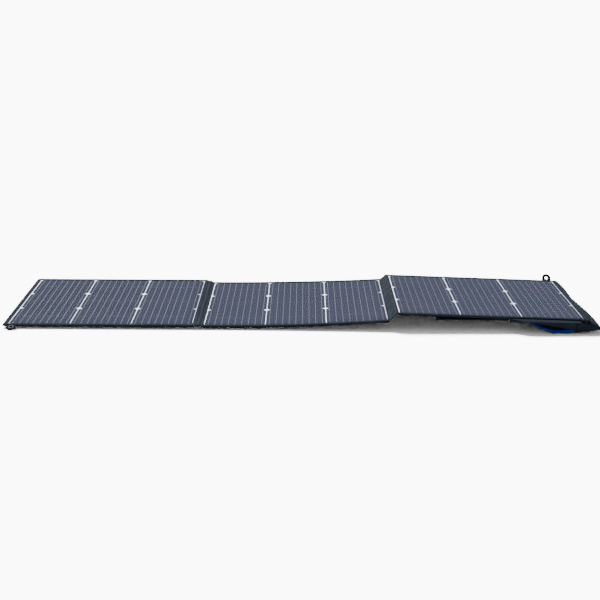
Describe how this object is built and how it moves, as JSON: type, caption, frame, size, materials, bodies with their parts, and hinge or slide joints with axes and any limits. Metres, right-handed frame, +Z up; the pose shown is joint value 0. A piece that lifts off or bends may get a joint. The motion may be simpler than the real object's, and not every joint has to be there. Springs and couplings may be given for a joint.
{
  "type": "folding solar panel",
  "caption": "Folding solar panel: rigid fabric-covered boards of monocrystalline cells joined by fabric folds, with fold-out legs, corner eyelet tabs and a storage pocket.",
  "frame": {"origin": "middle of the footprint, on the ground", "axes": "+X along the unfolded row of boards, towards the board with the pocket; +Y to the back edge; +Z up, out of the cells"},
  "size_m": [1.6397, 0.5798, 0.0496],
  "materials": {
    "black_textile": "matt plain-weave polyester",
    "clear_film": "satin textured front film",
    "silicon_cell": "blue-grey monocrystalline silicon with silver ribbons",
    "white_sheet": "white backing film",
    "stiff_board": "hidden stiffening board",
    "hook_tape": "hook and loop tape",
    "link_copper": "hidden flat conductor",
    "tab_webbing": "stiff black reinforced webbing",
    "dark_metal": "black enamelled eyelet",
    "blue_lining": "royal blue smooth lining",
    "black_plastic": "moulded black"
  },
  "bodies": {
    "panel_3": {"front_cover_3": "black_textile", "front_film_3": "clear_film", "cell_string_3": "silicon_cell", "backsheet_3": "white_sheet", "stiffener_3": "stiff_board", "back_cover_3": "black_textile", "leg_anchor_3": "hook_tape", "corner_tab_front_right": "tab_webbing", "eyelet_front_right": "dark_metal", "corner_tab_back_right": "tab_webbing", "eyelet_back_right": "dark_metal", "pocket_shell": "black_textile", "pocket_lining": "blue_lining", "pocket_hem": "black_textile", "pocket_gusset": "black_textile", "pocket_loop_tape": "hook_tape", "pocket_hook_tape": "hook_tape", "junction_base": "black_plastic", "junction_lid": "black_plastic", "diode_board": "link_copper", "cable_gland": "black_plastic"},
    "panel_2": {"front_cover_2": "black_textile", "front_film_2": "clear_film", "cell_string_2": "silicon_cell", "backsheet_2": "white_sheet", "stiffener_2": "stiff_board", "back_cover_2": "black_textile", "leg_anchor_2": "hook_tape", "fold_top_2": "black_textile", "fold_link_2": "link_copper", "fold_back_2": "black_textile"},
    "panel_1": {"front_cover_1": "black_textile", "front_film_1": "clear_film", "cell_string_1": "silicon_cell", "backsheet_1": "white_sheet", "stiffener_1": "stiff_board", "back_cover_1": "black_textile", "leg_anchor_1": "hook_tape", "corner_tab_front_left": "tab_webbing", "eyelet_front_left": "dark_metal", "corner_tab_back_left": "tab_webbing", "eyelet_back_left": "dark_metal", "fold_top_1": "black_textile", "fold_link_1": "link_copper", "fold_back_1": "black_textile"},
    "pocket_flap": {"pocket_flap": "black_textile"},
    "leg_1": {"leg_sleeve_1": "black_textile", "leg_board_1": "stiff_board"},
    "leg_2": {"leg_sleeve_2": "black_textile", "leg_board_2": "stiff_board"},
    "leg_3": {"leg_sleeve_3": "black_textile", "leg_board_3": "stiff_board"}
  },
  "joints": [
    {"name": "fold_2", "type": "hinge", "parent": "panel_3", "child": "panel_2", "pos_m": [0.2557, 0.00341, 0.04443], "axis": [0, 0.9998, -0.0192], "range_deg": [-10, 179], "deforming": ["fold_top_2", "fold_link_2", "fold_back_2"]},
    {"name": "fold_1", "type": "hinge", "parent": "panel_2", "child": "panel_1", "pos_m": [-0.283, 0.00298, 0.01223], "axis": [0.0001, 1, -0.0042], "range_deg": [-10, 178], "deforming": ["fold_top_1", "fold_link_1", "fold_back_1"]},
    {"name": "leg_1_hinge", "type": "hinge", "parent": "panel_1", "child": "leg_1", "pos_m": [-0.5526, 0.098, 0.005], "axis": [-1, 0, 0], "range_deg": [-65, 0]},
    {"name": "leg_2_hinge", "type": "hinge", "parent": "panel_2", "child": "leg_2", "pos_m": [-0.01325, 0.09795, 0.00881], "axis": [-0.9995, -0.0003, -0.0302], "range_deg": [-65, 0]},
    {"name": "leg_3_hinge", "type": "hinge", "parent": "panel_3", "child": "leg_3", "pos_m": [0.4726, 0.09778, 0.02332], "axis": [-1, 0.0001, 0.004], "range_deg": [-65, 0]},
    {"name": "pocket_flap_hinge", "type": "hinge", "parent": "panel_3", "child": "pocket_flap", "pos_m": [0.65968, -0.26206, 0.03388], "axis": [0.9995, -0.0009, -0.0302], "range_deg": [-70, 0]}
  ]
}
